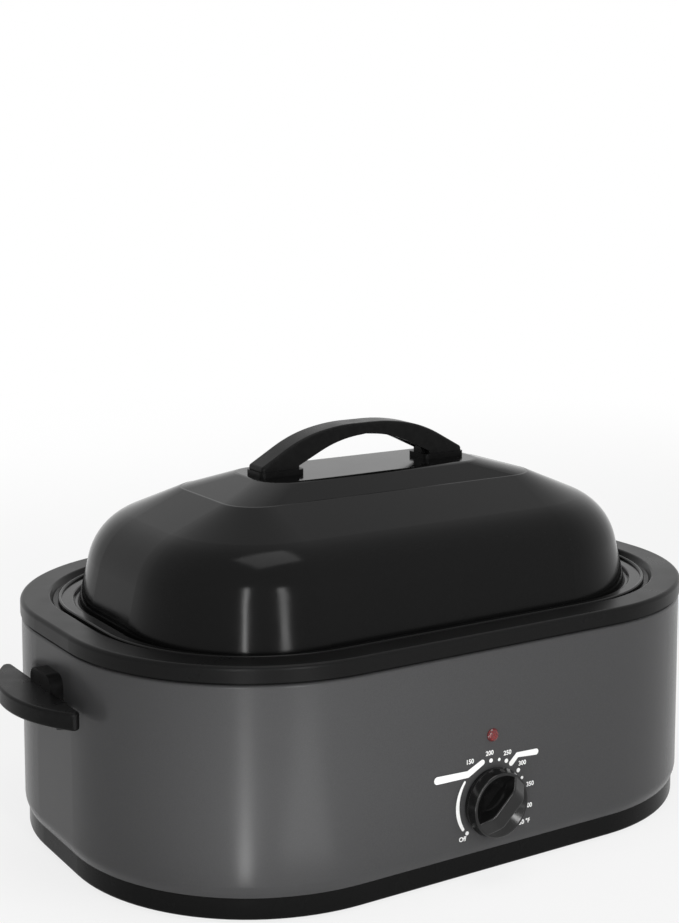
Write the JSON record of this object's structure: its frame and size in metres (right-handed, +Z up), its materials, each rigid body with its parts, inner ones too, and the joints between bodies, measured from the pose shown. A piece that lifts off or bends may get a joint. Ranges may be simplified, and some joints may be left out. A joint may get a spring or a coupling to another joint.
{
  "type": "electric roaster oven",
  "caption": "Electric roaster oven: heated oval base with control knob, lift-out pan, lift-out wire rack with folding bails, and lift-off domed lid.",
  "frame": {"origin": "on the table under the centre of the body", "axes": "+X to the right along the body, -Y to the front with the control knob, +Z up"},
  "size_m": [0.603, 0.405, 0.3097],
  "materials": {
    "black_paint": "satin black paint on steel",
    "black_plastic": "satin black phenolic",
    "bright_steel": "zinc plated steel",
    "foot_rubber": "matt black rubber",
    "fuse_can": "bare can",
    "gland_plastic": "matt black nylon",
    "glass_wool": "pale glass fibre",
    "grey_paint": "satin dark grey paint on steel",
    "knob_plastic": "gloss black phenolic",
    "lead_sleeve": "pale silicone sleeve",
    "lid_enamel": "gloss black enamel on steel",
    "moulded_block": "pale moulded phenolic",
    "pan_enamel": "gloss black enamel on steel",
    "plated_sheet": "aluminised steel sheet",
    "rack_chrome": "bright chrome wire",
    "red_lens": "clear red lens",
    "rod_sheath": "dark oxidised steel sheath",
    "well_enamel": "satin black enamel on steel"
  },
  "bodies": {
    "base": {"base_screws": "bright_steel", "base_tray": "black_paint", "cooking_well": "well_enamel", "cord_gland": "gland_plastic", "foot_front_left": "foot_rubber", "foot_front_right": "foot_rubber", "foot_rear_left": "foot_rubber", "foot_rear_right": "foot_rubber", "handle_plate_left": "bright_steel", "handle_plate_right": "bright_steel", "handle_screws_left": "bright_steel", "handle_screws_right": "bright_steel", "heat_reflector": "plated_sheet", "insulation_blanket": "glass_wool", "lead_left": "lead_sleeve", "lead_right": "lead_sleeve", "lower_heating_rod": "rod_sheath", "outer_band": "grey_paint", "pilot_lamp": "moulded_block", "pilot_lens": "red_lens", "side_handle_left": "black_plastic", "side_handle_right": "black_plastic", "terminal_block": "moulded_block", "thermal_fuse": "fuse_can", "thermostat": "moulded_block", "thermostat_nut": "bright_steel", "top_rim": "black_paint", "upper_heating_rod": "rod_sheath", "well_posts": "bright_steel"},
    "knob": {"control_knob": "knob_plastic", "thermostat_shaft": "bright_steel"},
    "pan": {"roasting_pan": "pan_enamel"},
    "rack": {"rack_crossbar_left": "rack_chrome", "rack_crossbar_right": "rack_chrome", "rack_rail": "rack_chrome", "rack_wire_1": "rack_chrome", "rack_wire_2": "rack_chrome", "rack_wire_3": "rack_chrome", "rack_wire_4": "rack_chrome", "rack_wire_5": "rack_chrome"},
    "bail_left": {"rack_bail_left": "rack_chrome"},
    "bail_right": {"rack_bail_right": "rack_chrome"},
    "lid": {"lid_collar_left": "black_plastic", "lid_collar_right": "black_plastic", "lid_handle": "black_plastic", "lid_screws": "bright_steel", "lid_shell": "lid_enamel", "lid_washers": "bright_steel"}
  },
  "joints": [
    {"name": "pan_lift", "type": "slide", "parent": "base", "child": "pan", "axis": [0, 0, 1], "range_m": [0, 0.19]},
    {"name": "rack_lift", "type": "slide", "parent": "pan", "child": "rack", "axis": [0, 0, 1], "range_m": [0, 0.17]},
    {"name": "lid_lift", "type": "slide", "parent": "rack", "child": "lid", "axis": [0, 0, 1], "range_m": [0, 0.06]},
    {"name": "bail_left_swing", "type": "hinge", "parent": "rack", "child": "bail_left", "pos_m": [-0.178, 0, 0.0506], "axis": [0, -1, 0], "range_deg": [0, 100]},
    {"name": "bail_right_swing", "type": "hinge", "parent": "rack", "child": "bail_right", "pos_m": [0.178, 0, 0.0506], "axis": [0, 1, 0], "range_deg": [0, 100]},
    {"name": "knob_turn", "type": "hinge", "parent": "base", "child": "knob", "pos_m": [-0.003, -0.184, 0.056], "axis": [0, 1, 0], "range_deg": [0, 262.5]}
  ]
}
